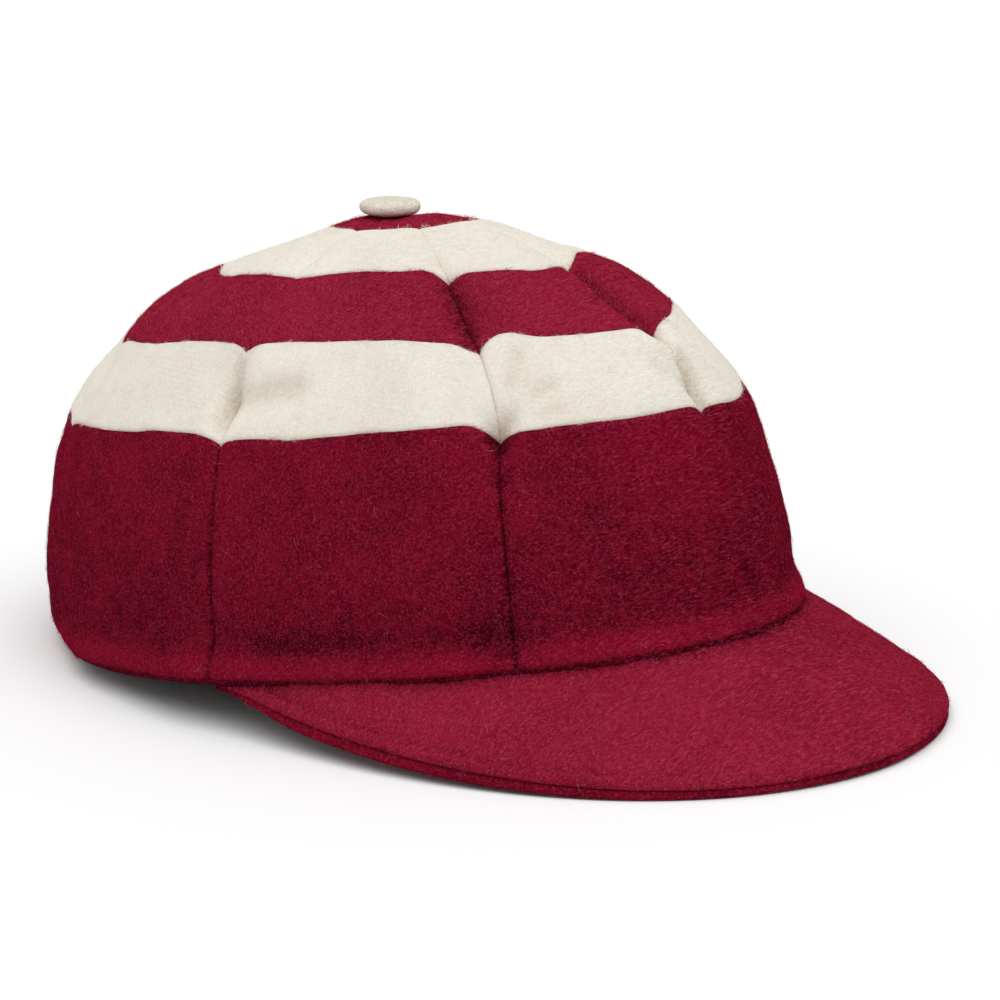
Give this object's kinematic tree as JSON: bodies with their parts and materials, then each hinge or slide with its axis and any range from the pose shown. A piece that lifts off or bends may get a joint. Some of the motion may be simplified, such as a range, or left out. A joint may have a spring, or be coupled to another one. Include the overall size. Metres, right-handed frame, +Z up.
{
  "type": "cricket cap",
  "caption": "Soft felted wool cap with a rounded hooped crown, a rolled hem, a short sloping peak and a covered button on top.",
  "frame": {"origin": "on the resting surface, under the middle of the cap's outline seen from above", "axes": "+Z up from the resting surface, -Y the way the peak points, +X towards the wearer's left"},
  "size_m": [0.1704, 0.2616, 0.1213],
  "materials": {
    "maroon_wool": "felted wool with a short raised nap",
    "cream_wool": "felted wool with a short raised nap"
  },
  "bodies": {
    "root": {"band_front": "maroon_wool", "band_gore_2": "maroon_wool", "band_gore_3": "maroon_wool", "band_gore_4": "maroon_wool", "band_gore_5": "maroon_wool", "band_gore_6": "maroon_wool", "band_gore_7": "maroon_wool", "button": "cream_wool", "hem": "maroon_wool", "high_cream_gore_1": "cream_wool", "high_cream_gore_2": "cream_wool", "high_cream_gore_3": "cream_wool", "high_cream_gore_4": "cream_wool", "high_cream_gore_5": "cream_wool", "high_cream_gore_6": "cream_wool", "high_cream_gore_7": "cream_wool", "high_cream_gore_8": "cream_wool", "low_cream_gore_1": "cream_wool", "low_cream_gore_2": "cream_wool", "low_cream_gore_3": "cream_wool", "low_cream_gore_4": "cream_wool", "low_cream_gore_5": "cream_wool", "low_cream_gore_6": "cream_wool", "low_cream_gore_7": "cream_wool", "low_cream_gore_8": "cream_wool", "mid_maroon_gore_1": "maroon_wool", "mid_maroon_gore_2": "maroon_wool", "mid_maroon_gore_3": "maroon_wool", "mid_maroon_gore_4": "maroon_wool", "mid_maroon_gore_5": "maroon_wool", "mid_maroon_gore_6": "maroon_wool", "mid_maroon_gore_7": "maroon_wool", "mid_maroon_gore_8": "maroon_wool", "peak_top": "maroon_wool", "peak_under": "maroon_wool", "tip_maroon_gore_1": "maroon_wool", "tip_maroon_gore_2": "maroon_wool", "tip_maroon_gore_3": "maroon_wool", "tip_maroon_gore_4": "maroon_wool", "tip_maroon_gore_5": "maroon_wool", "tip_maroon_gore_6": "maroon_wool", "tip_maroon_gore_7": "maroon_wool", "tip_maroon_gore_8": "maroon_wool"}
  },
  "joints": []
}
